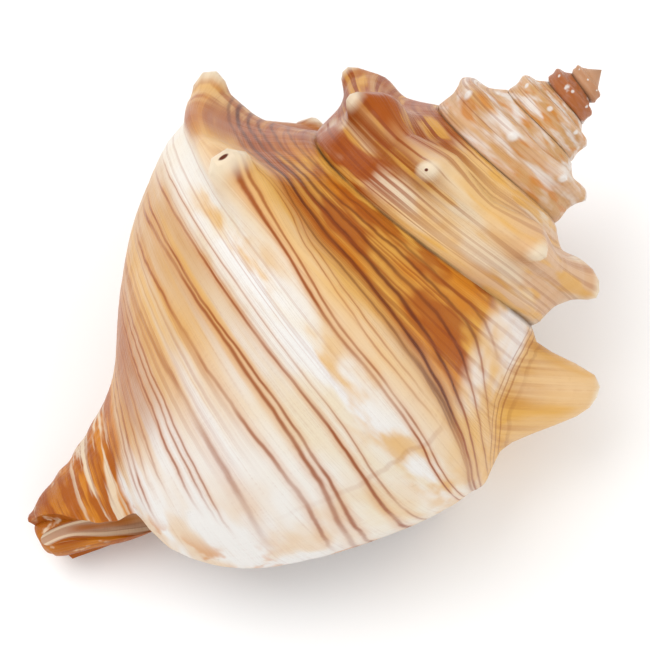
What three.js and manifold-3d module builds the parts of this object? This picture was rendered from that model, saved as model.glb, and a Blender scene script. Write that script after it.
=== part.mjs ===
// A conch shell lying on its aperture, back up and apex toward +X. Millimetres.
import * as THREE from "three";
import { mergeVertices } from "three/addons/utils/BufferGeometryUtils.js";
import Module from "manifold-3d";

const wasm = await Module();
wasm.setup();

// Overall growth of the coil.
const apexHeight = 89.5;
const growthPerTurn = 1.75;
const dropPerTurn = 1.71;
const spireTurns = 4.75;
const sutureRadius = 15.0;
const sutureDrop = 25.06;
const shoulderRadius = 24.3;
const shoulderDrop = 31.1;
const sutureOffset = 0.053;
const shoulderOffset = 0.115;
const sutureLean = 0.205;
const shoulderLean = 0.255;
const leanPerTurn = 0.034;
const canalShift = 1.2;

// Spines on the shoulder, and the big one beside the lip.
const spinesPerTurn = 8;
const spineRise = 0.18;
const lipSpineRise = 11.4;
const lipSpineRow = 0.8;

// Wall, lip and aperture.
const lipReach = 0.45;
const wallThickness = 2.1;
const notchDepth = 1.3;
const cavityDepth = 1.7;
const gutterRadius = 2;
const gutterRadiusInside = 5.2;

// How it lies: turned about its length, then tipped toward the canal.
const restRoll = 18.76;
const restPitch = -16.62;
const wornFlat = 0.35;

// Fineness of the facets.
const stepsPerTurn = 72;
const spireRows = [0, 0.65, 1.3, 2, 2.6, 3.3, 4];

const turn = Math.PI * 2;
const lipAngle = Math.PI + lipReach;
const startAngle = lipAngle - turn;
const { smoothstep, lerp } = THREE.MathUtils;

// Outlines of the last whorl below its shoulder, as radius and height,
// at the inner lip, at the side away from the lip and at the lip itself.
const innerLipOutline = [
  [19.2, 56.5], [17.3, 50.5], [13.8, 44.5], [9.8, 38.5], [7.2, 31.5], [7.2, 23.5], [8.8, 15.5], [7.6, 9],
  [4.2, 0.3],
];
const sideOutline = [
  [27.2, 47.3], [26.6, 44], [24.9, 40.3], [21.7, 34.4], [16.8, 28.3], [11, 22.2], [8.5, 17.9], [7.1, 13],
  [6, 8.7], [5.2, 4.6], [3.9, 0.3],
];
const lipOutline = [
  [29.2, 48.5], [29.4, 45.6], [29.2, 42.7], [28, 37.2], [24.6, 27], [20.6, 19.5], [15.6, 13.8], [11.2, 11],
  [9, 8.8], [7.6, 6.3], [6, 3.6], [4.2, 0.3],
];
// Where the free edge of the lip ends in each row, with the notch before the canal.
const lipEdge = new THREE.SplineCurve(
  [lipAngle, lipAngle, 3.54, 3.48, 3.4, 3.19, 2.94, 2.81, 2.52, 1.95, 2.2, 1.8, 1.2, 0.6].map(
    (angle, row) => new THREE.Vector2(row, angle),
  ),
);
const lastRow = 13;
const seamRow = 4;

function grown(angle) {
  return growthPerTurn ** (angle / turn);
}

function coilLine(angle, radius, drop, offset, lean) {
  const size = grown(angle);
  const fall = dropPerTurn ** (angle / turn);
  const slant = lean + leanPerTurn * (angle / turn);
  const side = Math.cos(angle);
  return new THREE.Vector2(
    radius * size * (1 + offset * side),
    apexHeight - drop * fall * (1 + Math.max(slant, 0) * side),
  );
}

function suture(angle) {
  return coilLine(angle, sutureRadius, sutureDrop, sutureOffset, sutureLean);
}

function shoulder(angle) {
  return coilLine(angle, shoulderRadius, shoulderDrop, shoulderOffset, shoulderLean);
}

// Half-way down the ramp, a little hollowed.
function rampMiddle(top, bottom) {
  const middle = top.clone().lerp(bottom, 0.5);
  middle.y -= 0.05 * bottom.x;
  return middle;
}

// Control points of the outline of a young whorl; the ones under the seam shrink with the coil.
function youngOutline(angle) {
  const top = suture(angle);
  const edge = shoulder(angle);
  const seam = suture(angle + turn);
  const side = edge.clone().lerp(seam, 0.5);
  const shrink = grown(angle - startAngle);
  const inner = innerLipOutline.map(
    ([radius, height]) => new THREE.Vector2(radius * shrink, apexHeight - (apexHeight - height) * shrink),
  );
  return [top, rampMiddle(top, edge), edge, side, seam, ...inner];
}

// Control points of the outline anywhere on the last whorl.
function lastOutline(angle) {
  const young = youngOutline(angle);
  const edge = shoulder(Math.min(angle, 0.2));
  const away = smoothstep(angle, startAngle, startAngle + 2.3);
  const flare = smoothstep(angle, 0.2, Math.PI);
  const widest = shoulder(0);
  const wide = Math.min(edge.x / widest.x, 1);
  const tall = Math.max(edge.y / widest.y, 1);
  const keel = young[2].clone();
  keel.lerp(new THREE.Vector2(...lipOutline[0]), flare);
  const outline = [young[0], rampMiddle(young[0], keel), keel];
  for (let row = 3; row <= lastRow; row += 1) {
    const [sideRadius, sideHeight] = sideOutline[row - 3];
    const narrow = lerp(wide, 1, smoothstep(row, 6, 11));
    const side = new THREE.Vector2(sideRadius * narrow, sideHeight * tall);
    const lip = new THREE.Vector2(...lipOutline[row - 2]);
    const inner = row > seamRow ? new THREE.Vector2(...innerLipOutline[row - 5]) : young[row];
    outline.push(inner.lerp(side, away).lerp(lip, flare));
  }
  return outline;
}

function outlineAt(angle) {
  return new THREE.SplineCurve(angle > startAngle - 1e-6 ? lastOutline(angle) : youngOutline(angle));
}

// Height of the spines above the plain whorl.
function spineHeight(angle, row) {
  const spacing = turn / spinesPerTurn;
  const count = Math.round((Math.PI - angle) / spacing);
  const along = (angle - (Math.PI - count * spacing)) / (spacing / 2);
  const isLipSpine = count === 0;
  if (count < 0 || count === 1 || count === 2) return 0;
  const below = row > lipSpineRow ? 1.15 : 0.8;
  const across = isLipSpine ? (row - lipSpineRow) / below : (row - 2) / 1.5;
  const reach = Math.min(Math.hypot(along, across, 0.16), 1);
  const shape = (1 - reach) ** 1.5 / 0.84 ** 1.5;
  const young = smoothstep(grown(angle), 0.16, 0.8);
  return shape * (isLipSpine ? lipSpineRise : spineRise * shoulderRadius * grown(angle) * young);
}

// The crease that runs to the notch in the lip.
function creaseDepth(angle, row) {
  const near = Math.max(1 - Math.abs(row - 9.1) / 0.9, 0);
  return notchDepth * near * near * smoothstep(angle, 0.3, 1.9);
}

function shift(height) {
  return canalShift * (1 - smoothstep(height, 8, 26));
}

function place(angle, radius, height) {
  return new THREE.Vector3(shift(height) - radius * Math.cos(angle), radius * Math.sin(angle), height);
}

function outward(spline, row) {
  const tangent = spline.getTangent(row / (spline.points.length - 1));
  return new THREE.Vector2(-tangent.y, tangent.x);
}

// A point on the skin, or under it by the given depth.
function skin(angle, row, depth = null) {
  const spline = outlineAt(angle);
  const point = spline.getPoint(row / (spline.points.length - 1));
  const rise = depth === null ? spineHeight(angle, row) - creaseDepth(angle, row) : -depth;
  const out = outward(spline, Math.max(row, 0.02));
  return place(angle, Math.max(point.x + out.x * rise, 0.3), point.y + out.y * rise);
}

function solidFrom(points, faces) {
  const geometry = new THREE.BufferGeometry();
  const numbers = points.flatMap((p) => p.toArray());
  geometry.setAttribute("position", new THREE.Float32BufferAttribute(numbers, 3));
  geometry.setIndex(faces.flat());
  const merged = mergeVertices(geometry, 1e-3);
  const triVerts = [];
  const index = merged.index.array;
  for (let i = 0; i < index.length; i += 3) {
    const [a, b, c] = index.slice(i, i + 3);
    if (a !== b && b !== c && c !== a) triVerts.push(a, b, c);
  }
  return new wasm.Manifold(
    new wasm.Mesh({
      numProp: 3,
      vertProperties: merged.attributes.position.array,
      triVerts: new Uint32Array(triVerts),
    }),
  );
}

// The skin from apex to canal, closed across the aperture.
function wholeBody() {
  const points = [];
  const faces = [];
  const add = (point) => points.push(point) - 1;
  const quad = (a, b, c, d) => faces.push([a, b, c], [a, c, d]);
  const spireSteps = Math.round(spireTurns * stepsPerTurn);
  const bodyRows = [...spireRows];
  for (let row = seamRow + 0.5; row <= lastRow; row += 0.5) bodyRows.push(row);
  const seam = spireRows.length - 1;
  const foot = bodyRows.length - 1;

  const spire = [];
  for (let step = 0; step <= spireSteps; step += 1) {
    const angle = startAngle - ((spireSteps - step) / stepsPerTurn) * turn;
    spire.push([]);
    spireRows.forEach((row) => spire[step].push(add(skin(angle, row))));
  }
  const body = [];
  for (let step = 0; step <= stepsPerTurn; step += 1) {
    body.push([]);
    bodyRows.forEach((row) => {
      const end = lipEdge.getPoint(row / lastRow).y;
      body[step].push(add(skin(lerp(startAngle, end, step / stepsPerTurn), row)));
    });
  }
  // The lower edge of each turn is the suture of the next one.
  for (let step = 0; step <= spireSteps; step += 1) {
    const next = step + stepsPerTurn;
    const below = next <= spireSteps ? spire[next][0] : body[next - spireSteps][0];
    spire[step][seam] = below;
  }
  for (let row = 0; row <= seam; row += 1) body[0][row] = spire[spireSteps][row];

  for (const strip of [spire, body]) {
    for (let step = 0; step + 1 < strip.length; step += 1) {
      for (let row = 0; row + 1 < strip[0].length; row += 1) {
        quad(strip[step][row], strip[step][row + 1], strip[step + 1][row + 1], strip[step + 1][row]);
      }
    }
  }
  // Apex.
  const rim = [];
  for (let step = 0; step <= stepsPerTurn; step += 1) rim.push(spire[step][0]);
  for (let row = seam - 1; row > 0; row -= 1) rim.push(spire[0][row]);
  const apex = add(new THREE.Vector3(0, 0, apexHeight));
  rim.forEach((corner, i) => faces.push([apex, corner, rim[(i + 1) % rim.length]]));
  // End of the canal.
  const end = body.map((column) => column[foot]);
  const middle = new THREE.Vector3();
  end.forEach((corner) => middle.addScaledVector(points[corner], 1 / end.length));
  middle.z -= 0.6;
  const tip = add(middle);
  end.forEach((corner, i) => faces.push([corner, tip, end[(i + 1) % end.length]]));
  // Across the aperture, from the edge of the lip to the inner lip.
  const outer = body[stepsPerTurn];
  const inner = body[0].slice(seam);
  let i = 0;
  let j = 0;
  while (i < outer.length - 1 || j < inner.length - 1) {
    const outerNext = (i + 1) / (outer.length - 1);
    const innerNext = (j + 1) / (inner.length - 1);
    if (i < outer.length - 1 && (outerNext <= innerNext || j === inner.length - 1)) {
      faces.push([outer[i], outer[i + 1], inner[j]]);
      i += 1;
    } else {
      faces.push([outer[i], inner[j + 1], inner[j]]);
      j += 1;
    }
  }
  return solidFrom(points, faces);
}

// A solid through a row of equal loops of points.
function loft(loops) {
  const size = loops[0].length;
  const points = loops.flat();
  const faces = [];
  for (let loop = 0; loop + 1 < loops.length; loop += 1) {
    for (let i = 0; i < size; i += 1) {
      const next = (i + 1) % size;
      const here = loop * size;
      const there = here + size;
      faces.push([here + i, here + next, there + next], [here + i, there + next, there + i]);
    }
  }
  for (const last of [false, true]) {
    const base = last ? (loops.length - 1) * size : 0;
    const middle = new THREE.Vector3();
    for (let i = 0; i < size; i += 1) middle.addScaledVector(points[base + i], 1 / size);
    const centre = points.push(middle) - 1;
    for (let i = 0; i < size; i += 1) {
      const next = base + ((i + 1) % size);
      faces.push(last ? [base + i, next, centre] : [next, base + i, centre]);
    }
  }
  const solid = solidFrom(points, faces);
  return solid.volume() > 0 ? solid : solidFrom(points, faces.map(([a, b, c]) => [a, c, b]));
}

// The hollow behind the lip, from outside the mouth to deep in the whorl.
function hollow() {
  const outerRows = [1.1, 1.6, 2, 2.5, 3, 3.5, 4, 4.5, 5, 5.5, 6, 6.5, 7, 7.5, 8, 8.4];
  const innerRows = [10.4, 9.5, 8.8, 8, 7.2, 6.4, 5.6, 4.9, 4.4];
  const tailShrink = [0, 0.12, 0.35, 0.7];
  const steps = 22;
  const loops = [];
  for (let step = 0; step <= steps; step += 1) {
    const angle = lipAngle + 0.3 - (step / steps) * (cavityDepth + 0.3);
    const past = Math.max(angle - lipAngle, 0);
    const thin = smoothstep(angle, lipAngle - 0.9, lipAngle);
    const loop = outerRows.map((row) => skin(angle, row, wallThickness * lerp(1.15, 0.75, thin)));
    const lift = past > 0 ? past * 6 + 0.05 : -0.15;
    innerRows.forEach((row) => loop.push(skin(angle - turn, row, -lift)));
    const tail = Math.max(step - steps + 3, 0);
    const middle = new THREE.Vector3();
    loop.forEach((p) => middle.addScaledVector(p, 1 / loop.length));
    loop.forEach((p) => p.lerp(middle, tailShrink[tail]));
    loops.push(loop);
  }
  return loft(loops);
}

// The open gutter of the canal.
function gutter() {
  const course = new THREE.CatmullRomCurve3([
    new THREE.Vector3(1.6, 1.2, -4),
    new THREE.Vector3(2.4, 1.4, 1),
    new THREE.Vector3(5.2, 2.6, 8),
    new THREE.Vector3(7.6, 3.4, 14),
    new THREE.Vector3(10.5, 2.4, 22),
  ]);
  const steps = 12;
  const sides = 14;
  const loops = [];
  for (let step = 0; step <= steps; step += 1) {
    const centre = course.getPoint(step / steps);
    const radius = lerp(gutterRadius, gutterRadiusInside, step / steps);
    const loop = [];
    for (let i = 0; i < sides; i += 1) {
      const angle = (i / sides) * turn;
      loop.push(new THREE.Vector3(radius * Math.cos(angle), radius * Math.sin(angle), 0).add(centre));
    }
    loops.push(loop);
  }
  return loft(loops);
}

function geometryOf(solid) {
  const mesh = solid.getMesh();
  const geometry = new THREE.BufferGeometry();
  geometry.setAttribute("position", new THREE.Float32BufferAttribute(mesh.vertProperties, 3));
  geometry.setIndex([...mesh.triVerts]);
  return geometry;
}

function solidOf(geometry) {
  geometry.deleteAttribute("normal");
  geometry.deleteAttribute("uv");
  const merged = mergeVertices(geometry, 1e-3);
  return new wasm.Manifold(
    new wasm.Mesh({
      numProp: 3,
      vertProperties: merged.attributes.position.array,
      triVerts: new Uint32Array(merged.index.array),
    }),
  );
}

// Lay it down: length along X, back up, tipped until the canal, a spine and the lip touch the floor.
const lying = geometryOf(wholeBody().subtract(hollow()).subtract(gutter()));
lying.applyMatrix4(
  new THREE.Matrix4().makeBasis(
    new THREE.Vector3(0, -1, 0),
    new THREE.Vector3(0, 0, 1),
    new THREE.Vector3(1, 0, 0),
  ),
);
lying.rotateX(THREE.MathUtils.degToRad(restRoll));
lying.rotateY(THREE.MathUtils.degToRad(restPitch));
lying.computeBoundingBox();
const floorHeight = lying.boundingBox.min.z + wornFlat;

// The three points it stands on are worn flat.
const underFloor = new THREE.BoxGeometry(300, 300, 40).translate(0, 0, floorHeight - 20);
const geometry = geometryOf(solidOf(lying).subtract(solidOf(underFloor)));
geometry.computeBoundingBox();
const middle = geometry.boundingBox.getCenter(new THREE.Vector3());
geometry.translate(-middle.x, -middle.y, -floorHeight);

const material = new THREE.MeshStandardMaterial({ color: 0xe2b883, roughness: 0.35, metalness: 0 });
const shell = new THREE.Mesh(geometry, material);
shell.name = "shell";

const conch = new THREE.Group();
conch.add(shell);
export default conch;
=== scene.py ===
import math

import bpy
import numpy as np
from mathutils import Matrix, Vector


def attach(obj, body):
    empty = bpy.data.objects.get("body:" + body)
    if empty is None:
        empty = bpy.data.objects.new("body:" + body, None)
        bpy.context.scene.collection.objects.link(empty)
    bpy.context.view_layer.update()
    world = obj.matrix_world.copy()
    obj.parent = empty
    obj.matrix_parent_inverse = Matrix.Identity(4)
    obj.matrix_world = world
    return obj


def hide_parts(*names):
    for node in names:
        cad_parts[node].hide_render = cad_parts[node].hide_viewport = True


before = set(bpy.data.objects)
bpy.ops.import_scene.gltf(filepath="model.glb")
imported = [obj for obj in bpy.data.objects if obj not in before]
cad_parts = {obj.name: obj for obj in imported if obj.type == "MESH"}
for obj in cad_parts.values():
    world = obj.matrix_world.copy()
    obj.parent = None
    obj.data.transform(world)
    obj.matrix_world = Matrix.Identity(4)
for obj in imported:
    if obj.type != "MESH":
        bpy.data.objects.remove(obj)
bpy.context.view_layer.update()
print("frame loaded")

turn = 2 * math.pi
mm = 0.001


# The coil, in millimetres and radians, as the solid has it, and how finely it is wound.
coil = {
    "apexHeight": 89.5,
    "growthPerTurn": 1.75,
    "dropPerTurn": 1.71,
    "spireTurns": 4.75,
    "sutureRadius": 15.0,
    "sutureDrop": 25.06,
    "sutureOffset": 0.053,
    "sutureLean": 0.205,
    "shoulderRadius": 24.3,
    "shoulderDrop": 31.1,
    "shoulderOffset": 0.115,
    "shoulderLean": 0.255,
    "leanPerTurn": 0.034,
    "lipReach": 0.45,
    "wallThickness": 2.1,
    "cavityDepth": 1.7,
    "apexTip": 89.6,
    "canalShift": 1.2,
    "canalShiftLow": 8.0,
    "canalShiftHigh": 26.0,
    "canalEnd": 0.6,
    "columnsPerTurn": 270,
    "spireRowCount": 34,
}
lipAngle = math.pi + coil["lipReach"]
startAngle = lipAngle - turn
seamRow = 4
lastRow = 13

# How it lies, turned about its length and tipped toward the canal, and where the floor is.
rest = {"roll": 18.76, "pitch": -16.62, "middle": (42.6314, -0.3931, -4.3878)}

# Control points as radius and height: the inner lip, the plain side of the last whorl, and the flared lip.
innerLip = np.array([
    [19.2, 56.5], [17.3, 50.5], [13.8, 44.5], [9.8, 38.5], [7.2, 31.5],
    [7.2, 23.5], [8.8, 15.5], [7.6, 9], [4.2, 0.3],
])
sideOutline = np.array([
    [27.2, 47.3], [26.6, 44], [24.9, 40.3], [21.7, 34.4], [16.8, 28.3], [11, 22.2],
    [8.5, 17.9], [7.1, 13], [6, 8.7], [5.2, 4.6], [3.9, 0.3],
])
lipOutline = np.array([
    [29.2, 48.5], [29.4, 45.6], [29.2, 42.7], [28, 37.2], [24.6, 27], [20.6, 19.5],
    [15.6, 13.8], [11.2, 11], [9, 8.8], [7.6, 6.3], [6, 3.6], [4.2, 0.3],
])
# Where the lip ends along the coil, row by row.
lipEnds = np.array([
    lipAngle, lipAngle, 3.54, 3.48, 3.4, 3.19, 2.94, 2.81, 2.52, 2.1, 2.0, 1.75, 1.2, 0.6,
])


def smooth(value, low, high):
    part = np.clip((value - low) / (high - low), 0, 1)
    return part * part * (3 - 2 * part)


def grown(angle):
    return coil["growthPerTurn"] ** (angle / turn)


def coilLine(angle, name):
    side = np.cos(angle)
    lean = np.maximum(coil[name + "Lean"] + coil["leanPerTurn"] * angle / turn, 0)
    radius = coil[name + "Radius"] * grown(angle) * (1 + coil[name + "Offset"] * side)
    fall = coil[name + "Drop"] * coil["dropPerTurn"] ** (angle / turn)
    return np.stack([radius, coil["apexHeight"] - fall * (1 + lean * side)], -1)


def rampMiddle(top, bottom):
    middle = (top + bottom) / 2
    middle[..., 1] -= 0.05 * bottom[..., 0]
    return middle


# Control points of the whorl's outline at each angle, as radius and height.
def outlinePoints(angle):
    top = coilLine(angle, "suture")
    edge = coilLine(angle, "shoulder")
    seam = coilLine(angle + turn, "suture")
    shrink = grown(angle - startAngle)[..., None]
    inner = np.stack([
        innerLip[:, 0] * shrink,
        coil["apexHeight"] - (coil["apexHeight"] - innerLip[:, 1]) * shrink,
    ], -1)
    upper = np.stack([top, rampMiddle(top, edge), edge, (edge + seam) / 2, seam], -2)
    young = np.concatenate([upper, inner], -2)

    away = smooth(angle, startAngle, startAngle + 2.3)[..., None]
    flare = smooth(angle, 0.2, math.pi)[..., None]
    held = coilLine(np.minimum(angle, 0.2), "shoulder")
    widest = coilLine(np.array(0.0), "shoulder")
    wide = np.minimum(held[..., 0] / widest[0], 1)
    tall = np.maximum(held[..., 1] / widest[1], 1)
    last = young.copy()
    keel = edge + (lipOutline[0] - edge) * flare
    last[..., 1, :] = rampMiddle(top, keel)
    last[..., 2, :] = keel
    for row in range(3, lastRow + 1):
        narrow = wide + (1 - wide) * smooth(row, 6, 11)
        side = np.stack([sideOutline[row - 3, 0] * narrow, sideOutline[row - 3, 1] * tall], -1)
        start = innerLip[row - 5] if row > seamRow else young[..., row, :]
        point = start + (side - start) * away
        last[..., row, :] = point + (lipOutline[row - 2] - point) * flare
    return np.where((angle > startAngle - 1e-6)[..., None, None], last, young)


# Point and outward direction of a smooth curve through the control points.
def alongOutline(points, row):
    count = points.shape[-2]
    knot = np.clip(np.floor(row).astype(int), 0, count - 2)
    part = (row - knot)[..., None]

    def pick(index):
        index = np.clip(index, 0, count - 1)[..., None, None]
        index = np.broadcast_to(index, points.shape[:-2] + (1, 2))
        return np.take_along_axis(points, index, axis=-2)[..., 0, :]

    before, here, there, after = (pick(knot + i) for i in (-1, 0, 1, 2))
    slopeHere = (there - before) / 2
    slopeThere = (after - here) / 2
    cubic = 2 * here - 2 * there + slopeHere + slopeThere
    square = -3 * here + 3 * there - 2 * slopeHere - slopeThere
    point = ((cubic * part + square) * part + slopeHere) * part + here
    tangent = (3 * cubic * part + 2 * square) * part + slopeHere
    tangent /= np.maximum(np.linalg.norm(tangent, axis=-1, keepdims=True), 1e-9)
    return point, np.stack([-tangent[..., 1], tangent[..., 0]], -1)


def profile(angle, row):
    points = outlinePoints(angle)
    point = alongOutline(points, row)[0]
    return point, alongOutline(points, np.maximum(row, 0.02))[1]


def lipEnd(row):
    table = np.stack([np.arange(lastRow + 1.0), lipEnds], -1)
    return alongOutline(np.broadcast_to(table, row.shape + table.shape), row)[0][..., 1]


def canalShift(height):
    return coil["canalShift"] * (1 - smooth(height, coil["canalShiftLow"], coil["canalShiftHigh"]))


# Where a point of the coil is before the shell is laid down: length on X, back on Z.
def wound(angle, radius, height):
    across = radius * np.cos(angle) - canalShift(height)
    return np.stack([height, across, radius * np.sin(angle)], -1)


# A point of the skin pushed in by a depth.
def under(angle, row, depth):
    point, out = profile(angle, row)
    radius = np.maximum(point[..., 0] - out[..., 0] * depth, 0.3)
    return wound(angle, radius, point[..., 1] - out[..., 1] * depth)


# The unrolled skin: a strip of spire and a strip of last whorl, joined where a turn meets the next.
def skinSheet():
    perTurn = coil["columnsPerTurn"]
    rimSteps = np.array([0.0045, 0.0036, 0.0027, 0.0019, 0.0012, 0.0006, 0.0002, 0])
    plainPart = 0.9945
    parts = np.concatenate([np.linspace(0, plainPart, perTurn), 1 - rimSteps])
    columns = len(parts) - 1
    spireRows = np.linspace(0, seamRow, coil["spireRowCount"])
    bodyRows = np.concatenate([
        np.linspace(0, seamRow, coil["spireRowCount"]),
        np.linspace(seamRow, 8.2, 43)[1:],
        np.linspace(8.2, lastRow, 46)[1:],
    ])
    turns = math.ceil(coil["spireTurns"])
    spireAngles = np.concatenate([startAngle + (k + parts[:-1]) * turn for k in range(-turns, 0)])
    spireAngles = np.append(spireAngles, startAngle)
    spireAngles = spireAngles[spireAngles > startAngle - coil["spireTurns"] * turn - 1e-6]
    spireAngle, spireRow = np.meshgrid(spireAngles, spireRows, indexing="ij")
    partGrid, bodyRow = np.meshgrid(parts, bodyRows, indexing="ij")
    bodyAngle = startAngle + (lipEnd(bodyRow) - startAngle) * partGrid
    close = np.clip(1 - (1 - partGrid) / rimSteps[0], 0, 1)
    bodyRim = (1 - np.sqrt(1 - close ** 2)) * smooth(bodyRow, 0.6, 1.4)

    angles = np.concatenate([spireAngle.ravel(), bodyAngle.ravel()])
    rows = np.concatenate([spireRow.ravel(), bodyRow.ravel()])
    rims = np.concatenate([np.zeros(spireAngle.size), bodyRim.ravel()])
    spire = np.arange(spireAngle.size).reshape(spireAngle.shape)
    body = spireAngle.size + np.arange(bodyAngle.size).reshape(bodyAngle.shape)
    canalRow = 9.4
    canalAngle = 1.6
    endAngle = 1.2
    seam = len(spireRows) - 1
    spireColumns = len(spireAngles)
    for column in range(spireColumns):
        ahead = column + columns
        spire[column, seam] = spire[ahead, 0] if ahead < spireColumns else body[ahead - spireColumns + 1, 0]
    body[0, :seam + 1] = spire[-1]

    faces = []
    corners = []
    inside = []

    def addFace(indices, where, within):
        faces.append(indices)
        corners.extend(where)
        inside.append(within)

    for ids, angleGrid, rowGrid in ((spire, spireAngle, spireRow), (body, bodyAngle, bodyRow)):
        for i in range(ids.shape[0] - 1):
            for j in range(ids.shape[1] - 1):
                spots = ((i, j), (i, j + 1), (i + 1, j + 1), (i + 1, j))
                addFace([ids[s] for s in spots], [(angleGrid[s], rowGrid[s]) for s in spots], 0)

    # apex
    ring = list(spire[:columns + 1, 0]) + list(spire[0, seam - 1:0:-1])
    apex = len(angles)
    for i, corner in enumerate(ring):
        three = [apex, corner, ring[(i + 1) % len(ring)]]
        addFace(three, [(spireAngles[0], 1)] * 3, 0)
    # end of the canal
    tip = apex + 1
    foot = list(body[:, -1])
    for i, corner in enumerate(foot):
        three = [corner, tip, foot[(i + 1) % len(foot)]]
        addFace(three, [(endAngle, lastRow)] * 3, 0)
    # across the aperture
    outer = list(body[-1])
    inner = list(body[0, seam:])
    i = j = 0
    while i < len(outer) - 1 or j < len(inner) - 1:
        ahead = i < len(outer) - 1
        if ahead and (j == len(inner) - 1 or (i + 1) / (len(outer) - 1) <= (j + 1) / (len(inner) - 1)):
            three = [outer[i], outer[i + 1], inner[j]]
            i += 1
        else:
            three = [outer[i], inner[j + 1], inner[j]]
            j += 1
        if len(set(three)) == 3:
            onCanal = bodyRows[i] > canalRow
            addFace(three, [(canalAngle if onCanal else lipAngle, bodyRows[i])] * 3, 0 if onCanal else 1)

    point, out = profile(angles, rows)
    end = profile(bodyAngle[:, -1], bodyRow[:, -1])[0]
    endPoint = wound(bodyAngle[:, -1], end[:, 0], end[:, 1]).mean(0)
    endAcross = endPoint[1] + coil["canalShift"]
    extra = {
        "angle": [0, math.atan2(endPoint[2], endAcross)],
        "row": [0, lastRow],
        "rim": [0, 0],
        "radius": [0, math.hypot(endPoint[2], endAcross)],
        "height": [coil["apexTip"], endPoint[0] - coil["canalEnd"]],
        "outRadius": [0, 0],
        "outHeight": [0, 0],
    }
    columnsOfData = {
        "angle": angles, "row": rows, "rim": rims, "radius": point[:, 0], "height": point[:, 1],
        "outRadius": out[:, 0], "outHeight": out[:, 1],
    }
    data = {name: np.concatenate([values, extra[name]]) for name, values in columnsOfData.items()}
    return faces, corners, inside, data


# A mesh with the coil's angle and row at every corner, and a mark on the faces inside the mouth.
def meshFrom(name, points, faces, corners, inside):
    mesh = bpy.data.meshes.new(name)
    mesh.from_pydata(points, [], faces)
    growth = mesh.uv_layers.new(name="growth")
    growth.data.foreach_set("uv", np.array(corners, dtype=np.float32).ravel())
    within = mesh.attributes.new("inside", "FLOAT", "FACE")
    within.data.foreach_set("value", np.array(inside, dtype=np.float32))
    mesh.update()
    return mesh


# A closed tube through loops of points.
def loft(name, loops, angles, rows, within=1):
    count, size, _ = loops.shape
    points = list(loops.reshape(-1, 3)) + [loops[0].mean(0), loops[-1].mean(0)]
    faces = []
    corners = []
    for i in range(count - 1):
        for j in range(size):
            k = (j + 1) % size
            spots = ((i, j), (i, k), (i + 1, k), (i + 1, j))
            faces.append([a * size + b for a, b in spots])
            corners.extend((angles[a], rows[b]) for a, b in spots)
    for j in range(size):
        k = (j + 1) % size
        last = (count - 1) * size
        faces.append([k, j, count * size])
        faces.append([last + j, last + k, count * size + 1])
        corners.extend([(angles[0], rows[j])] * 3 + [(angles[-1], rows[j])] * 3)
    volume = sum(np.dot(points[f[0]], np.cross(points[f[1]], points[f[2]])) for f in faces)
    volume += sum(np.dot(points[f[0]], np.cross(points[f[2]], points[f[3]])) for f in faces if len(f) == 4)
    mesh = meshFrom(name, points, faces, corners, [within] * len(faces))
    if volume < 0:
        mesh.flip_normals()
    thing = bpy.data.objects.new(name, mesh)
    bpy.context.scene.collection.objects.link(thing)
    return thing


# The hollow behind the lip, from outside the mouth to deep in the whorl.
def makeHollow():
    outerRows = np.linspace(1.1, 8.4, 60)
    innerRows = np.concatenate([np.linspace(10.4, 8.8, 12), np.linspace(8.6, 4.4, 32)])
    steps = 66
    angles = lipAngle + 0.3 - np.arange(steps + 1) / steps * (coil["cavityDepth"] + 0.3)
    loops = []
    for step, angle in enumerate(angles):
        past = max(angle - lipAngle, 0)
        thin = smooth(angle, lipAngle - 0.9, lipAngle)
        depth = coil["wallThickness"] * (1.15 - 0.4 * thin)
        lift = past * 6 + 0.05 if past > 0 else -0.15
        outer = under(np.full(outerRows.shape, angle), outerRows, depth)
        inner = under(np.full(innerRows.shape, angle - turn), innerRows, -lift)
        loop = np.concatenate([outer, inner])
        shrink = max(step - steps + 9, 0) / 9
        loops.append(loop + (loop.mean(0) - loop) * 0.7 * shrink ** 2)
    return loft("hollow", np.array(loops), angles, np.concatenate([outerRows, innerRows]))


# A round tapering rod through points given as right, near, up and radius.
def makeRod(name, course, steps=40, sides=36):
    course = np.array(course)
    knots = np.linspace(0, len(course) - 1, steps + 1)
    halves = []
    for half in (course[:, :2], course[:, 2:]):
        halves.append(alongOutline(np.broadcast_to(half, (steps + 1,) + half.shape), knots)[0])
    middle = np.concatenate([halves[0], halves[1][:, :1]], -1)
    radius = halves[1][:, 1]
    ahead = np.gradient(middle, axis=0)
    ahead /= np.linalg.norm(ahead, axis=1, keepdims=True)
    sideways = np.cross(ahead, (0.0, 1.0, 0.0))
    sideways /= np.linalg.norm(sideways, axis=1, keepdims=True)
    upward = np.cross(sideways, ahead)
    spin = np.arange(sides) / sides * turn
    loops = []
    for i in range(steps + 1):
        ring = np.outer(np.cos(spin), sideways[i]) + np.outer(np.sin(spin), upward[i])
        spots = middle[i] + ring * radius[i]
        loops.append(np.stack([spots[:, 2], -spots[:, 0], spots[:, 1]], -1))
    return loft(name, np.array(loops), np.linspace(0.4, 2.0, steps + 1), 11 + np.sin(spin), 0)


# The channel of the canal, and the rolled fold that borders it.
canalRods = {
    "gutter": [
        (0.4, 4.2, -3, 0.9), (1.6, 3.6, 3, 1.2), (4.6, 3.6, 8, 2.2), (7.6, 3.4, 14, 3.8),
        (10.5, 2.4, 22, 5.0),
    ],
    "fold": [
        (0.9, 0.5, -0.5, 0.5), (1.0, 0.5, -0.2, 1.9), (1.1, 0.5, 0.6, 2.6), (1.7, 0.5, 2.4, 2.95),
        (3.4, 0.4, 5.6, 2.7), (5.6, 0.1, 9.6, 2.5), (7.6, -0.4, 14.5, 1.8), (8.6, -1.6, 18, 0.5),
    ],
}


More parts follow.
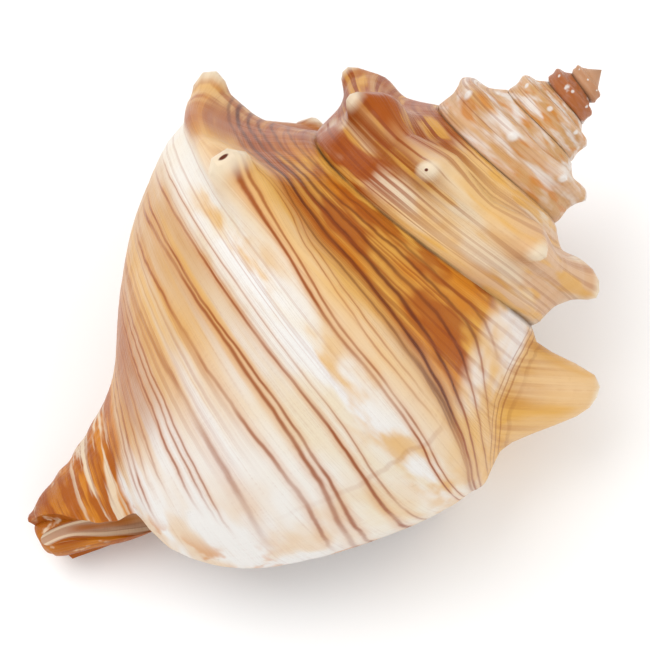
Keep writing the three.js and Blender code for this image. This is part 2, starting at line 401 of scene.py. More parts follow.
# A node socket that takes plain arithmetic, in geometry trees and in materials alike.
class Wire:
    def __init__(self, tree, socket):
        self.tree = tree
        self.socket = socket

    def into(self, slot):
        self.tree.links.new(self.socket, slot)

    def math(self, kind, *others):
        node = self.tree.nodes.new("ShaderNodeMath")
        node.operation = kind
        for slot, value in zip(node.inputs, (self,) + others):
            feed(value, slot)
        return Wire(self.tree, node.outputs[0])

    def __add__(self, other):
        return self.math("ADD", other)

    def __sub__(self, other):
        return self.math("SUBTRACT", other)

    def __mul__(self, other):
        return self.math("MULTIPLY", other)

    def __truediv__(self, other):
        return self.math("DIVIDE", other)

    def __neg__(self):
        return self * -1

    def flip(self):
        return -self + 1

    def step(self, low, high):
        node = self.tree.nodes.new("ShaderNodeMapRange")
        node.interpolation_type = "SMOOTHSTEP"
        feed(self, node.inputs["Value"])
        feed(low, node.inputs["From Min"])
        feed(high, node.inputs["From Max"])
        return Wire(self.tree, node.outputs["Result"])

    def near(self, value, reach):
        return (self - value).math("ABSOLUTE").step(reach, 0.0)

    def equals(self, value):
        return self.math("COMPARE", value, 0.5)


def feed(value, slot):
    if isinstance(value, Wire):
        value.into(slot)
    else:
        slot.default_value = value


def vector(tree, *parts):
    node = tree.nodes.new("ShaderNodeCombineXYZ")
    for slot, part in zip(node.inputs, parts):
        feed(part, slot)
    return Wire(tree, node.outputs[0])


def noise(tree, where, scale, detail=2.0, roughness=0.5, output=0):
    node = tree.nodes.new("ShaderNodeTexNoise")
    feed(where, node.inputs["Vector"])
    node.inputs["Scale"].default_value = scale
    node.inputs["Detail"].default_value = detail
    node.inputs["Roughness"].default_value = roughness
    return Wire(tree, node.outputs[output])


# What the coiling tree may be given, with the values of this shell.
shellSizes = {
    "Spine Rise": 4.8,
    "Lip Spine Rise": 11.4,
    "Lip Spine Lean": 50.0,
    "Apex Bulge": 0.3,
    "Suture Groove": 0.4,
    "Spire Keel": 1.5,
    "Spine Pit": 0.3,
    "Crease Depth": 0.9,
    "Canal Fold": 0.12,
    "Growth Ridge": 0.16,
    "Spiral Cord": 0.07,
    "Rim Rounding": 0.6,
    "Canal Shift": coil["canalShift"],
    "Seed": 4.0,
}


sharpEdge = 48  # degrees; gentler edges are shaded smooth


# Spines stand eight to a turn on the shoulder; two are missing before the one beside the lip.
def spineTerms(angle, row):
    spacing = turn / 8
    # a few spines stand off the even spacing
    angle = angle - angle.step(0.2, 0.6) * angle.step(2.1, 1.5) * 0.2
    angle = angle + angle.step(-5.6, -5.1) * angle.step(-3.4, -3.8) * 0.12
    count = ((-angle + math.pi) / spacing + 0.5).math("FLOOR")
    isLip = count.equals(0)
    onSpire = count.math("GREATER_THAN", 7.5)
    bare = count.math("LESS_THAN", -0.5) + count.equals(1) + count.equals(2)
    present = bare.flip().math("MAXIMUM", 0.0)
    centre = -(count * spacing) + math.pi - onSpire * 0.05
    along = ((angle - centre) / (spacing / 2)).math("ABSOLUTE").math("MINIMUM", 1.0)
    sag = angle.math("COSINE") * 0.1 + 0.3 + angle.math("SINE").math("MAXIMUM", 0.0) * 0.15
    low = onSpire * sag + isLip.flip() * 2.0 + isLip * 0.8
    low = low + count.equals(3) * 0.12
    isBelow = row.math("GREATER_THAN", low)
    lipAcross = (row - low) / (isBelow * 0.3 + 0.9)
    across = isLip * lipAcross + isLip.flip() * ((row - low) / 1.5)
    distance = (along * along + across * across).math("SQRT").math("MINIMUM", 1.0)
    # a ridge from the suture down over the shoulder
    crest = (along * along + 0.03).math("SQRT").flip().math("MAXIMUM", 0.0) / 0.83
    above = ((row - 0.15) / (low - 0.15)).math("MAXIMUM", 0.0).math("MINIMUM", 1.0).math("POWER", 1.3)
    below = ((row - low) / (onSpire * 0.4 + 1.3)).flip().math("MAXIMUM", 0.0).math("MINIMUM", 1.0)
    below = below.math("POWER", onSpire.flip() * 1.2 + 1.3)
    ridge = crest.math("POWER", 1.35) * (isBelow * below + isBelow.flip() * above)
    return isLip, present, distance, ridge


def buildCoilTree(skinMaterial, glazeMaterial, hollow, gutter, fold):
    tree = bpy.data.node_groups.new("coilShell", "GeometryNodeTree")
    face = tree.interface
    face.new_socket(name="Geometry", in_out="INPUT", socket_type="NodeSocketGeometry")
    face.new_socket(name="Geometry", in_out="OUTPUT", socket_type="NodeSocketGeometry")
    for name, value in shellSizes.items():
        face.new_socket(name=name, in_out="INPUT", socket_type="NodeSocketFloat").default_value = value
    new = tree.nodes.new
    link = tree.links.new
    start = new("NodeGroupInput")
    given = {name: Wire(tree, start.outputs[name]) for name in shellSizes}

    def stored(name):
        node = new("GeometryNodeInputNamedAttribute")
        node.data_type = "FLOAT"
        node.inputs["Name"].default_value = name
        return Wire(tree, node.outputs[0])

    angle, row, rim = stored("angle"), stored("row"), stored("rim")
    radius, height = stored("radius"), stored("height")
    outRadius, outHeight = stored("outRadius"), stored("outHeight")
    size = (angle * (math.log(coil["growthPerTurn"]) / turn)).math("EXPONENT")
    seed = given["Seed"]

    # spines, blunt and with a small pit at the tip
    isLip, present, distance, ridge = spineTerms(angle, row)
    finger = distance.step(angle.step(-1.5, -2.5) * 0.06 + 0.24, 0.02)
    pit = distance.near(0.0, 0.12) * given["Spine Pit"] * size.step(0.4, 0.7)
    onSpire = angle.step(-2.2, -3.0)
    spire = given["Spine Rise"] * size * size.step(0.16, 0.8)
    spire = spire * (onSpire * (angle.math("COSINE") * 0.45 + 0.45) + 1.0)
    rise = ((ridge * 0.6 + finger * 0.4) * spire - pit) * present * isLip.flip()
    flare = distance.flip().math("POWER", 1.6) * 0.38 + distance.step(0.66, 0.14) * 0.62
    lipRise = (flare * given["Lip Spine Rise"] - pit) * isLip

    # older whorls are angled along the shoulder
    keel = ((row - 2.3).math("ABSOLUTE") / 0.9).flip().math("MAXIMUM", 0.0).math("POWER", 1.4)
    rise = rise + keel * onSpire * given["Spire Keel"] * size

    # the suture lies in a shallow groove
    lowerSeam = row.near(seamRow, 0.22) * angle.step(startAngle, startAngle - 0.2)
    groove = row.step(0.22, 0.0).math("MAXIMUM", lowerSeam)
    rise = rise - groove * given["Suture Groove"] * size

    # crease to the notch, folds of the canal
    crease = (row - 9.1).math("ABSOLUTE") / 0.9
    crease = crease.flip().math("MAXIMUM", 0.0)
    rise = rise - crease * crease * angle.step(0.3, 1.9) * given["Crease Depth"]
    folds = ((row - 9.6) * (turn / 0.9)).math("COSINE")
    rise = rise + folds * row.step(9.5, 10.3) * angle.step(-0.8, 0.3) * given["Canal Fold"]

    # growth ridges along the coil and fine cords around it
    ridges = noise(tree, vector(tree, angle * 9.0, row * 0.5, seed), 1.0, 3.0) - 0.5
    cords = noise(tree, vector(tree, angle * 0.7, row * 5.0, seed + 9.0), 1.0, 3.0) - 0.5
    relief = ridges * given["Growth Ridge"] + cords * given["Spiral Cord"]
    rise = rise + relief * 2.0 * size.math("MINIMUM", 1.0) * rim.flip()
    rise = rise - rim * given["Rim Rounding"]

    # wind the sheet round the columella
    lipLean = given["Lip Spine Lean"] * math.radians(1)
    bulge = size.step(0.16, 0.05) * given["Apex Bulge"]
    farOut = radius * (bulge + 1.0) + outRadius * rise + lipRise * lipLean.math("COSINE")
    farOut = farOut.math("MAXIMUM", 0.0)
    farUp = height + bulge * 2.2 + outHeight * rise + lipRise * lipLean.math("SINE")
    shifted = given["Canal Shift"] * farUp.step(coil["canalShiftLow"], coil["canalShiftHigh"]).flip()
    place = new("GeometryNodeSetPosition")
    link(start.outputs["Geometry"], place.inputs["Geometry"])
    spot = vector(tree, farUp, farOut * angle.math("COSINE") - shifted, farOut * angle.math("SINE"))
    spot.into(place.inputs["Position"])

    # open the mouth and the canal
    result = place.outputs[0]
    for thing, operation in ((hollow, "DIFFERENCE"), (fold, "UNION"), (gutter, "DIFFERENCE")):
        source = new("GeometryNodeObjectInfo")
        source.inputs["Object"].default_value = thing
        cut = new("GeometryNodeMeshBoolean")
        cut.operation = operation
        cut.solver = "MANIFOLD"
        link(result, cut.inputs["Mesh 1" if operation == "DIFFERENCE" else "Mesh"])
        second = "Mesh 2" if operation == "DIFFERENCE" else "Mesh"
        link(source.outputs["Geometry"], cut.inputs[second])
        result = cut.outputs[0]

    # lay it down, worn flat where it touches
    lay = new("GeometryNodeTransform")
    link(result, lay.inputs["Geometry"])
    lay.inputs["Scale"].default_value = (mm, mm, mm)
    lay.inputs["Rotation"].default_value = (math.radians(rest["roll"]), math.radians(rest["pitch"]), 0)
    lay.inputs["Translation"].default_value = [-value * mm for value in rest["middle"]]
    split = new("ShaderNodeSeparateXYZ")
    link(new("GeometryNodeInputPosition").outputs[0], split.inputs[0])
    worn = new("GeometryNodeSetPosition")
    link(lay.outputs[0], worn.inputs["Geometry"])
    level = Wire(tree, split.outputs[2]).math("MAXIMUM", 0.0)
    flatSpot = vector(tree, Wire(tree, split.outputs[0]), Wire(tree, split.outputs[1]), level)
    flatSpot.into(worn.inputs["Position"])

    real = new("GeometryNodeRealizeInstances")
    link(worn.outputs[0], real.inputs[0])
    skin = new("GeometryNodeSetMaterial")
    skin.inputs["Material"].default_value = skinMaterial
    link(real.outputs[0], skin.inputs["Geometry"])
    glaze = new("GeometryNodeSetMaterial")
    glaze.inputs["Material"].default_value = glazeMaterial
    link(skin.outputs[0], glaze.inputs["Geometry"])
    stored("inside").math("GREATER_THAN", 0.5).into(glaze.inputs["Selection"])
    end = new("NodeGroupOutput")
    link(glaze.outputs[0], end.inputs[0])
    return tree


def makeShell(skinMaterial, glazeMaterial):
    faces, corners, inside, data = skinSheet()
    flat = np.stack([data["height"], data["radius"], data["angle"]], -1)
    mesh = meshFrom("shellSheet", flat, faces, corners, inside)
    for name, values in data.items():
        layer = mesh.attributes.new(name, "FLOAT", "POINT")
        layer.data.foreach_set("value", values.astype(np.float32))
    sheet = bpy.data.objects.new("shellSheet", mesh)
    bpy.context.scene.collection.objects.link(sheet)
    print("sheet unrolled", len(mesh.polygons))

    hollow = makeHollow()
    gutter, fold = (makeRod(name, canalRods[name]) for name in ("gutter", "fold"))
    tree = buildCoilTree(skinMaterial, glazeMaterial, hollow, gutter, fold)
    winding = sheet.modifiers.new("coilShell", "NODES")
    winding.node_group = tree
    for item in tree.interface.items_tree:
        if item.in_out == "INPUT" and item.name in shellSizes:
            winding[item.identifier] = shellSizes[item.name]
    evaluated = sheet.evaluated_get(bpy.context.evaluated_depsgraph_get())
    made = bpy.data.meshes.new_from_object(evaluated)
    made.name = "conchShell"
    sheet.modifiers.remove(winding)
    for thing in (sheet, hollow, gutter, fold):
        bpy.data.objects.remove(thing)
    made.shade_smooth()
    made.set_sharp_from_angle(angle=math.radians(sharpEdge))
    piece = bpy.data.objects.new("conchShell", made)
    bpy.context.scene.collection.objects.link(piece)
    print("shell wound", len(made.polygons))
    return piece


shellGain = 0.8  # the studio light is bright, so the paints are a little darker than they look


def paint(red, green, blue):
    def linear(value):
        value /= 255
        return value / 12.92 if value <= 0.04045 else ((value + 0.055) / 1.055) ** 2.4
    return (linear(red) * shellGain, linear(green) * shellGain, linear(blue) * shellGain, 1)


shellColours = {
    "white": paint(254, 250, 245),
    "cream": paint(250, 233, 204),
    "tan": paint(244, 198, 132),
    "sand": paint(220, 170, 112),
    "gold": paint(240, 182, 84),
    "orangeTan": paint(222, 138, 34),
    "caramel": paint(174, 84, 8),
    "line": paint(158, 72, 6),
    "dark": paint(100, 38, 8),
    "mauve": paint(172, 124, 104),
    "blush": paint(232, 188, 146),
    "rust": paint(178, 94, 40),
    "sutureGrey": paint(120, 88, 62),
}

# Brown spiral lines of the back: angle and row along each, width in rows, strength.
backLines = [
    ([(0.95, 2.05), (1.3, 2.2), (1.6, 2.45), (2.0, 2.5), (2.25, 2.6), (2.5, 2.95), (3.1, 3.6)], 0.075, 1.0),
    ([(0.95, 1.98), (1.3, 2.05), (1.6, 2.31), (2.0, 2.38), (2.25, 2.46), (2.5, 2.75),
      (3.1, 3.3)], 0.06, 0.8),
    ([(1.0, 1.9), (1.15, 1.55), (1.35, 1.7), (1.6, 1.95), (2.2, 2.05)], 0.05, 0.6),
    ([(1.0, 1.8), (1.15, 1.35), (1.35, 1.5), (1.6, 1.75), (2.1, 1.9)], 0.05, 0.5),
    ([(0.5, 4.1), (1.2, 4.0), (1.6, 4.0), (2.0, 4.15), (2.3, 4.45), (3.1, 4.6)], 0.06, 0.6),
    ([(0.5, 4.6), (1.1, 4.45), (1.5, 4.42), (1.9, 4.42), (2.1, 4.55), (2.5, 4.8), (3.2, 5.0)], 0.09, 1.0),
    ([(0.5, 5.15), (1.2, 5.05), (1.8, 4.97), (2.1, 5.1), (2.5, 5.3), (3.2, 5.5)], 0.06, 0.9),
    ([(0.5, 5.35), (1.2, 5.13), (1.8, 5.1), (2.1, 5.22), (2.5, 5.43), (3.2, 5.7)], 0.075, 0.9),
    ([(0.6, 5.7), (1.3, 5.58), (1.7, 5.52), (2.2, 5.55), (2.7, 5.75)], 0.06, 0.8),
    ([(0.4, 6.35), (1.0, 6.25), (1.5, 6.15), (2.0, 6.2), (2.5, 6.4)], 0.13, 0.55),
    ([(0.4, 6.6), (1.2, 6.55), (1.7, 6.6), (2.2, 6.75)], 0.05, 0.7),
    ([(0.4, 6.75), (1.2, 6.68), (1.7, 6.74), (2.1, 6.85)], 0.05, 0.7),
    ([(0.4, 6.95), (1.2, 6.88), (1.6, 6.93), (2.0, 7.05)], 0.06, 0.8),
    ([(0.4, 7.3), (1.0, 7.25), (1.5, 7.35), (1.8, 7.45)], 0.06, 0.5),
    ([(0.4, 7.6), (1.0, 7.55), (1.5, 7.65), (1.8, 7.75)], 0.06, 0.5),
    ([(0.3, 7.95), (1.0, 7.82), (1.5, 7.92), (2.0, 8.1)], 0.09, 0.8),
    ([(0.3, 8.2), (1.0, 8.05), (1.5, 8.12), (1.9, 8.25)], 0.09, 0.6),
]
# Darker lines and bands of the ramp above the shoulder.
rampLines = [
    ([(0, 0.55), (0.6, 0.35), (1.2, 0.3), (1.8, 0.3), (2.3, 0.4), (2.6, 0.6)], 0.05, 0.5),
    ([(0, 0.75), (0.6, 0.55), (1.2, 0.45), (1.9, 0.45), (2.3, 0.6), (2.6, 0.95), (2.85, 1.4)], 0.05, 0.7),
    ([(0, 0.95), (0.5, 0.72), (1.1, 0.6), (1.7, 0.65), (2.2, 0.8), (2.5, 1.15), (2.8, 1.7),
      (3.0, 2.0)], 0.06, 0.8),
    ([(0, 1.15), (0.4, 0.9), (0.9, 0.75), (1.5, 0.8), (2.0, 1.0), (2.4, 1.4), (2.7, 1.95),
      (3.0, 2.4), (3.4, 2.8)], 0.08, 0.9),
    ([(0, 1.4), (0.35, 1.1), (0.8, 0.95), (1.3, 1.0), (1.8, 1.2), (2.2, 1.5), (2.5, 1.85),
      (2.9, 2.5), (3.4, 3.0)], 0.1, 1.0),
    ([(0, 1.6), (0.3, 1.3), (0.7, 1.15), (1.2, 1.25), (1.8, 1.45), (2.2, 1.7), (2.6, 2.15),
      (3.0, 2.8), (3.4, 3.2)], 0.08, 0.55),
    ([(2.0, 1.55), (2.4, 1.8), (2.9, 2.65), (3.4, 3.1)], 0.14, 0.7),
]


# A smooth curve through spots, both ways from 0 to 1.
def bentCurve(tree, along, spots):
    node = tree.nodes.new("ShaderNodeFloatCurve")
    points = node.mapping.curves[0].points
    for spot in spots[1:-1]:
        points.new(*spot)
    points[0].location = spots[0]
    points[len(spots) - 1].location = spots[-1]
    node.mapping.extend = "HORIZONTAL"
    node.mapping.update()
    along.into(node.inputs["Value"])
    return Wire(tree, node.outputs[0])


# How strongly a point lies on one of the listed lines.
def lineMask(tree, angle, row, lines):
    together = halo = None
    firstAngle, span = -0.5, 4.5
    position = (angle - firstAngle) / span
    for path, width, strength in lines:
        spots = [((a - firstAngle) / span, u / lastRow) for a, u in path]
        middle = bentCurve(tree, position, spots) * lastRow
        away = (row - middle).math("ABSOLUTE")
        first, last = path[0][0], path[-1][0]
        ends = angle.step(first - 0.25, first + 0.15) * angle.step(last + 0.2, last - 0.25) * strength
        mask = away.step(width * 0.7, width * 0.1) * ends
        soft = away.step(width * 2.2, 0.0) * ends
        together = mask if together is None else together.math("MAXIMUM", mask)
        halo = soft if halo is None else halo.math("MAXIMUM", soft)
    return together, halo


# One colour over another, each given by its name or as a wire.
def colourOver(tree, below, above, mask):
    node = tree.nodes.new("ShaderNodeMix")
    node.data_type = "RGBA"
    feed(mask, node.inputs["Factor"])
    feed(shellColours[below] if isinstance(below, str) else below, node.inputs[6])
    feed(shellColours[above] if isinstance(above, str) else above, node.inputs[7])
    return Wire(tree, node.outputs[2])


def growthPlace(tree):
    growth = tree.nodes.new("ShaderNodeUVMap")
    growth.uv_map = "growth"
    split = tree.nodes.new("ShaderNodeSeparateXYZ")
    tree.links.new(growth.outputs[0], split.inputs[0])
    return Wire(tree, split.outputs[0]), Wire(tree, split.outputs[1])


# What the coats of paint share: where a point is on the coil, and the noises that break the paint up.
class Coat:
    def __init__(self, tree):
        self.tree = tree
        self.angle, self.straightRow = growthPlace(tree)
        solid = Wire(tree, tree.nodes.new("ShaderNodeTexCoord").outputs["Object"])
        self.cloud = noise(tree, solid, 90.0, 3.0)
        self.speck = noise(tree, solid, 420.0, 3.0)
        # lines waver together over centimetres and alone over millimetres
        slow = (self.patch(1.6, 0.6, 3.1) - 0.5) * 0.16
        self.row = self.straightRow + slow + (self.patch(7.0, 2.4, 5.7) - 0.5) * 0.06
        self.breaking = self.patch(2.2, 2.6, 1.3).step(0.3, 0.55) * 0.5 + 0.5
        self.side = self.angle.math("COSINE")
        self.isSpire = self.angle.step(-3.3, -2.5).flip()
        self.older = self.angle.step(-8.2, -9.6)
        self.pastMark = self.angle.step(2.3, 2.45)
        widest = 4.0
        ends = [(u / lastRow, end / widest) for u, end in enumerate(lipEnds)]
        self.fromLip = bentCurve(tree, self.straightRow / lastRow, ends) * widest - self.angle
        self.isLip, present, self.distance, _ = spineTerms(self.angle, self.straightRow)
        self.tip = self.distance.flip() * present
        self.onLipSpine = self.isLip * self.distance.step(0.95, 0.7)

    def patch(self, alongScale, acrossScale, offset, detail=2.0):
        where = vector(self.tree, self.angle * alongScale, self.straightRow * acrossScale, offset)
        return noise(self.tree, where, 1.0, detail)

    def over(self, below, above, mask):
        return colourOver(self.tree, below, above, mask)


# Last whorl: cream, sandy to the left, white below the shoulder and toward the lip.
def paintBack(coat):
    angle, row, patch, over = coat.angle, coat.row, coat.patch, coat.over
    colour = over("cream", "white", coat.cloud.step(0.35, 0.65) * 0.7)
    sandy = angle.step(2.0, 1.0) * row.step(3.9, 4.6) * (patch(1.1, 0.9, 7.7).step(0.3, 0.6) * 0.5 + 0.5)
    colour = over(colour, "sand", sandy)
    upper = row.step(3.0, 2.0) * (patch(1.3, 1.2, 8.4).step(0.3, 0.65) * 0.4 + 0.6)
    colour = over(colour, "tan", upper)
    golden = row.near(1.7, 0.7) * patch(2.0, 1.6, 3.6).step(0.35, 0.65) * 0.8
    colour = over(colour, "gold", golden)
    whiteBand = row.near(3.4, 1.5) * angle.step(0.6, 1.0) * patch(2.6, 0.9, 2.2).step(0.36, 0.54)
    whiteLip = row.step(5.0, 6.2) * angle.step(1.3, 1.75)
    colour = over(colour, "white", whiteBand.math("MAXIMUM", whiteLip))
    smears = patch(3.2, 1.0, 4.4, 3.0).step(0.46, 0.66) * row.near(3.2, 1.5) * angle.step(0.7, 1.0)
    colour = over(colour, "gold", smears * 0.8)
    bands = patch(0.5, 2.1, 6.6, 3.0).step(0.5, 0.62) * angle.step(2.1, 1.2) * row.step(4.3, 5.0)
    colour = over(colour, "gold", bands * 0.6)
    brownLow = patch(1.2, 1.4, 5.5).step(0.3, 0.6) * 0.35 + 0.45
    colour = over(colour, "caramel", row.near(7.2, 1.2) * angle.step(1.75, 1.1) * brownLow)
    haze = coat.fromLip.step(1.3, 0.3) * patch(2.0, 1.3, 2.7).step(0.45, 0.65) * 0.5
    colour = over(colour, "gold", haze)
    dashes = patch(3.4, 1.5, 9.5, 3.0).step(0.5, 0.62) * coat.fromLip.step(0.5, 0.15)
    return over(colour, "orangeTan", dashes * row.step(2.2, 3.0) * 0.75)


# The ramp above the shoulder, paler past the growth mark.
def paintRamp(coat, colour):
    angle, row, patch, over = coat.angle, coat.row, coat.patch, coat.over
    tone = over("gold", "orangeTan", patch(1.6, 2.2, 1.9).step(0.35, 0.6))
    tone = over(tone, "caramel", patch(2.6, 3.0, 3.3).step(0.48, 0.62) * 0.8)
    leftSide = angle.step(0.8, 0.4)
    tone = over(tone, "caramel", leftSide * (patch(0.6, 5.0, 7.4).step(0.35, 0.6) * 0.6 + 0.4))
    streaked = angle.near(0.05, 0.3) * (patch(14.0, 0.6, 3.2).step(0.6, 0.45) * 0.7 + 0.2)
    tone = over(tone, "tan", streaked * row.step(0.7, 1.2))
    paleTone = over("white", "tan", patch(3.0, 2.0, 6.3).step(0.35, 0.65))
    tone = over(tone, paleTone, coat.pastMark * 0.9)
    return over(colour, tone, row.step(1.75, 1.0).math("MAXIMUM", leftSide * row.step(2.9, 2.3) * 0.9))


# The canal: golden with pale streaks, browner and speckled at its end.
def paintCanal(coat, colour):
    angle, row, patch, over = coat.angle, coat.row, coat.patch, coat.over
    tone = over("orangeTan", "caramel", patch(1.2, 2.6, 5.2).step(0.42, 0.6) * 0.8)
    paleStreak = patch(0.9, 3.2, 7.1).step(0.48, 0.6) * row.step(8.8, 9.2) * row.step(11.4, 10.4)
    tone = over(tone, "cream", paleStreak * 0.8)
    tone = over(tone, "line", row.step(10.4, 11.2) * coat.cloud.step(0.4, 0.6) * 0.6)
    tone = over(tone, "cream", coat.speck.step(0.6, 0.7) * row.step(10.6, 11.2) * 0.7)
    canal = row.step(8.1, 8.5) * angle.step(1.65, 1.25) + row.step(9.0, 9.25)
    colour = over(colour, tone, canal.math("MINIMUM", 1.0))
    lines = patch(0.5, 8.0, 3.9).step(0.54, 0.64) * row.step(8.0, 8.6) * 0.55
    return over(colour, "line", lines * coat.breaking * angle.step(2.0, 1.4))


# The drawn spiral lines, the fine ones between them and the growth mark.
def paintLines(coat, colour):
    tree, angle, row, patch, over = coat.tree, coat.angle, coat.row, coat.patch, coat.over
    brown, halo = lineMask(tree, angle, row, backLines)
    colour = over(colour, "orangeTan", halo * coat.breaking * 0.5)
    colour = over(colour, "line", brown * coat.breaking * 0.9)
    fine = patch(0.25, 9.0, 2.8).step(0.55, 0.66) * row.step(9.0, 8.2) * angle.step(2.2, 1.3)
    colour = over(colour, "caramel", fine * 0.3)
    dark, halo = lineMask(tree, angle, row, rampLines)
    offSpine = coat.onLipSpine.flip()
    colour = over(colour, "caramel", halo * 0.7 * offSpine * (coat.pastMark * -0.5 + 1.0))
    darkTone = over("dark", "line", coat.pastMark)
    colour = over(colour, darkTone, dark * (coat.breaking * 0.6 + 0.4) * 0.9 * offSpine)
    rampFine = patch(0.4, 13.0, 6.1).step(0.5, 0.62) * row.step(1.5, 1.0) * 0.55
    colour = over(colour, "line", rampFine * (coat.pastMark * -0.6 + 1.0))
    mark = (angle - 2.3 - (patch(0.5, 1.5, 8.8) - 0.5) * 0.08).math("ABSOLUTE").step(0.022, 0.006)
    return over(colour, "caramel", mark * row.step(1.8, 2.2) * row.step(6.5, 4.0) * 0.2)


# The spine beside the lip, tan with arcs round its foot, and the strip along the lip's edge.
def paintLip(coat, colour):
    angle, row, patch, over, distance = coat.angle, coat.row, coat.patch, coat.over, coat.distance
    tone = over("tan", "gold", patch(5.0, 2.2, 4.1, 3.0).step(0.4, 0.62))
    colour = over(colour, tone, coat.onLipSpine * 0.85)
    streaks = patch(0.8, 9.0, 4.8).step(0.5, 0.62) * coat.onLipSpine * distance.step(0.3, 0.6)
    colour = over(colour, "caramel", streaks * 0.3)
    arcs = ((distance * 9.0 + patch(1.6, 1.6, 5.1) * 2.0) * turn).math("SINE").step(0.3, 0.9)
    arcs = arcs * coat.isLip * distance.step(0.5, 0.7) * distance.step(1.0, 0.9) * angle.step(3.3, 3.0)
    colour = over(colour, "line", arcs * 0.5)
    strip = coat.fromLip.step(0.05, 0.015) * row.step(3.2, 4.0) * row.step(7.4, 6.4)
    return over(colour, "mauve", strip * patch(6.0, 1.0, 1.8).step(0.3, 0.6) * 0.7)


# The spire: caramel on the side turned from the lip, pale on the other, rust at the tip.
def paintSpire(coat, colour):
    angle, row, side, patch, over = coat.angle, coat.row, coat.side, coat.patch, coat.over
    tone = over("blush", "tan", side.step(-0.7, -0.2))
    tone = over(tone, "cream", patch(1.4, 1.6, 4.9).step(0.5, 0.68) * 0.7)
    tone = over(tone, "caramel", side.step(0.05, 0.5) * (patch(1.2, 1.9, 6.8).step(0.3, 0.55) * 0.5 + 0.5))
    tone = over(tone, "gold", patch(1.8, 2.2, 2.4).step(0.52, 0.64) * 0.7)
    tone = over(tone, "cream", row.near(3.2, 0.7) * patch(2.2, 1.2, 9.3).step(0.45, 0.6) * 0.7)
    lowBand = row.near(2.7, 0.5) * patch(0.8, 3.0, 3.7).step(0.35, 0.5) * side.step(-0.15, 0.3)
    tone = over(tone, "line", lowBand * 0.9)
    olderTone = over("blush", "sand", patch(1.2, 2.0, 8.6).step(0.4, 0.6))
    olderTone = over(olderTone, "orangeTan", patch(2.0, 2.0, 8.1).step(0.5, 0.68) * 0.7)
    olderTone = over(olderTone, "white", patch(1.9, 1.6, 1.2).step(0.44, 0.7) * 0.75)
    tone = over(tone, olderTone, coat.older)
    lines = patch(0.35, 8.0, 1.1, 3.0).step(0.5, 0.62) * (side.step(-0.3, 0.6) * 0.65 + 0.3)
    tone = over(tone, "line", lines * (coat.older * -0.55 + 1.0))
    early = angle.step(-20.0, -22.0)
    tone = over(tone, "rust", early * 0.85)
    tone = over(tone, "white", early * coat.speck.step(0.56, 0.64) * angle.step(-28.0, -25.0) * 0.8)
    tone = over(tone, "blush", angle.step(-27.0, -30.0) * 0.5)
    return over(colour, tone, coat.isSpire)


# A thin brown-grey line along the suture, pale spine tips, and painted shade in the pits of three of them.
def paintSpots(coat, colour):
    angle, row, over = coat.angle, coat.straightRow, coat.over
    # a thin brown-grey line painted along the suture, darker in patches
    seamLine = row.step(0.1, 0.0) + row.step(3.9, 3.99) * coat.isSpire
    colour = over(colour, "sutureGrey", seamLine * (coat.cloud.step(0.4, 0.6) * 0.5 + 0.3))
    colour = over(colour, over("cream", "white", coat.older), coat.tip.step(0.8, 0.93) * 0.85)
    # painted shade: the small pit at the tip of three spines is darkened in colour
    shadedPits = angle.near(0.95, 0.5) + angle.near(-4.85, 0.4) + angle.near(math.pi, 0.4)
    return over(colour, "dark", coat.tip.step(0.972, 0.984) * shadedPits.step(0.0, 0.1))


skinFinish = {"roughness": 0.32, "specular": 0.2, "bump": 0.35, "bumpDepth": 0.0004, "striaeTint": 0.14}


def makeSkin():
    material = bpy.data.materials.new("shellSkin")
    material.use_nodes = True
    tree = material.node_tree
    shader = tree.nodes["Principled BSDF"]
    coat = Coat(tree)
    colour = paintBack(coat)
    for layer in (paintRamp, paintCanal, paintLines, paintLip, paintSpire, paintSpots):
        colour = layer(coat, colour)
    striae = coat.patch(1.5, 34.0, 1.7) * 0.75 + coat.patch(60.0, 2.0, 2.9) * 0.25
    colour = coat.over(colour, "caramel", striae.step(0.52, 0.7) * skinFinish["striaeTint"])
    colour.into(shader.inputs["Base Color"])

    shine = (coat.speck - 0.5) * 0.16 + (coat.cloud - 0.5) * 0.12 + skinFinish["roughness"]
    shine.into(shader.inputs["Roughness"])
    shader.inputs["Specular IOR Level"].default_value = skinFinish["specular"]
    bump = tree.nodes.new("ShaderNodeBump")
    bump.inputs["Strength"].default_value = skinFinish["bump"]
    bump.inputs["Distance"].default_value = skinFinish["bumpDepth"]
    striae.into(bump.inputs["Height"])
    tree.links.new(bump.outputs[0], shader.inputs["Normal"])
    print("skin painted", len(tree.nodes))
    return material


# The inside of the mouth: cream and white, orange deeper in, mauve marks on the rim.
def makeGlaze():
    material = bpy.data.materials.new("shellGlaze")
    material.use_nodes = True
    tree = material.node_tree
    shader = tree.nodes["Principled BSDF"]
    angle, row = growthPlace(tree)
    solid = Wire(tree, tree.nodes.new("ShaderNodeTexCoord").outputs["Object"])
    cloud = noise(tree, solid, 110.0, 3.0)
    colour = colourOver(tree, "cream", "white", cloud.step(0.35, 0.65))
    colour = colourOver(tree, colour, "orangeTan", angle.step(lipAngle - 0.1, lipAngle - 1.3) * 0.75)
    mottle = noise(tree, vector(tree, angle * 5.0, row * 2.0, 2.0), 1.0, 3.0)
    rimBand = angle.step(lipAngle - 0.4, lipAngle) * mottle.step(0.45, 0.6) * 0.7
    colour = colourOver(tree, colour, "mauve", rimBand)
    colour.into(shader.inputs["Base Color"])
    ((cloud - 0.5) * 0.1 + 0.22).into(shader.inputs["Roughness"])
    print("glaze mixed", len(tree.nodes))
    return material


shell = makeShell(makeSkin(), makeGlaze())
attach(shell, "root")
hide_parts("shell")


# A point or direction of the coil, given as right, toward the viewer and up, in the lying frame.
def laid(right, near, up):
    turned = Matrix.Rotation(math.radians(rest["pitch"]), 3, "Y")
    turned @= Matrix.Rotation(math.radians(rest["roll"]), 3, "X")
    return turned @ Vector((up, -right, near))


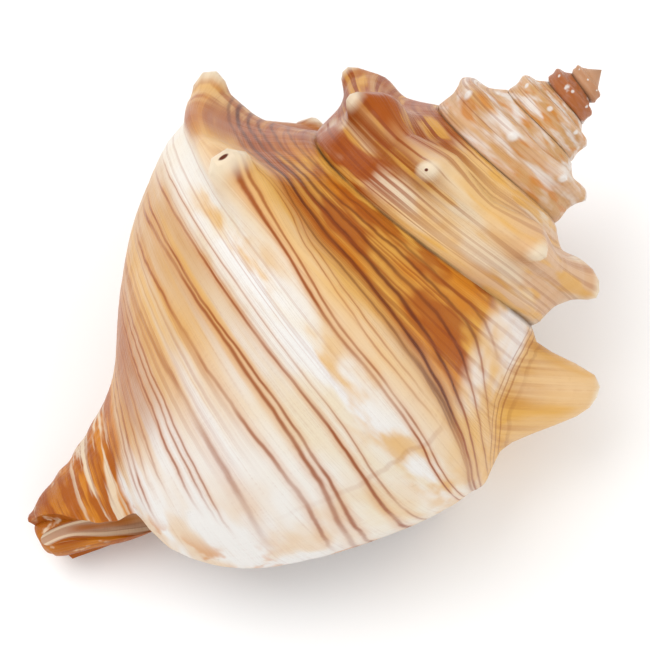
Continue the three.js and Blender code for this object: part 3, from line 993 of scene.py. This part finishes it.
# The photo's view: millimetres and degrees, and the direction of the shell's right in the picture.
view = {"target": (2.5, 0, 44.5), "distance": 220, "tilt": 8.0, "width": 79.5, "lean": (0.636, 0.772)}


def makeCamera():
    tilt = math.radians(view["tilt"])
    back = laid(0, math.cos(tilt), math.sin(tilt))
    above = laid(0, -math.sin(tilt), math.cos(tilt))
    right = laid(1, 0, 0)
    lean, rise = Vector(view["lean"]).normalized()
    xAxis = right * lean + above * rise
    yAxis = above * lean - right * rise
    spot = (laid(*view["target"]) - Vector(rest["middle"]) + back * view["distance"]) * mm
    data = bpy.data.cameras.new("photoCamera")
    data.lens = data.sensor_width * view["distance"] / view["width"]
    data.clip_start = 0.01
    camera = bpy.data.objects.new("photoCamera", data)
    turned = Matrix((xAxis, yAxis, back)).transposed().to_4x4()
    camera.matrix_world = Matrix.Translation(spot) @ turned
    bpy.context.scene.collection.objects.link(camera)
    bpy.context.scene.camera = camera
    print("camera at", [round(c, 4) for c in spot])
    return xAxis, yAxis, back


studio = {
    "floorSize": 1.6,
    "paper": (0.96, 0.96, 0.955, 1),
    "keyPower": 1.8,
    "fillPower": 0.7,
    "dome": 0.88,
}


def makeStudio(xAxis, yAxis, back):
    floorMesh = bpy.data.meshes.new("floor")
    half = studio["floorSize"] / 2
    floorMesh.from_pydata(
        [(-half, -half, 0), (half, -half, 0), (half, half, 0), (-half, half, 0)], [], [(0, 1, 2, 3)])
    paper = bpy.data.materials.new("palePaper")
    paper.use_nodes = True
    paperShader = paper.node_tree.nodes["Principled BSDF"]
    paperShader.inputs["Base Color"].default_value = studio["paper"]
    paperShader.inputs["Roughness"].default_value = 0.7
    floorMesh.materials.append(paper)
    floor = bpy.data.objects.new("floor", floorMesh)
    bpy.context.scene.collection.objects.link(floor)

    def softbox(name, where, power, size):
        data = bpy.data.lights.new(name, "AREA")
        data.energy = power
        data.size = size
        light = bpy.data.objects.new(name, data)
        light.location = where
        light.rotation_euler = (Vector((0, 0, 0.02)) - Vector(where)).to_track_quat("-Z", "Y").to_euler()
        bpy.context.scene.collection.objects.link(light)

    softbox("keyLight", back * 0.5 - xAxis * 0.3 + yAxis * 0.35, studio["keyPower"], 0.45)
    softbox("fillLight", back * 0.5 + xAxis * 0.45 - yAxis * 0.1, studio["fillPower"], 0.5)
    world = bpy.data.worlds.new("studioDome")
    world.use_nodes = True
    sky = world.node_tree.nodes["Background"]
    sky.inputs["Color"].default_value = (1, 1, 1, 1)
    sky.inputs["Strength"].default_value = studio["dome"]
    bpy.context.scene.world = world
    bpy.context.scene.view_settings.view_transform = "Standard"


makeStudio(*makeCamera())
print("studio ready")
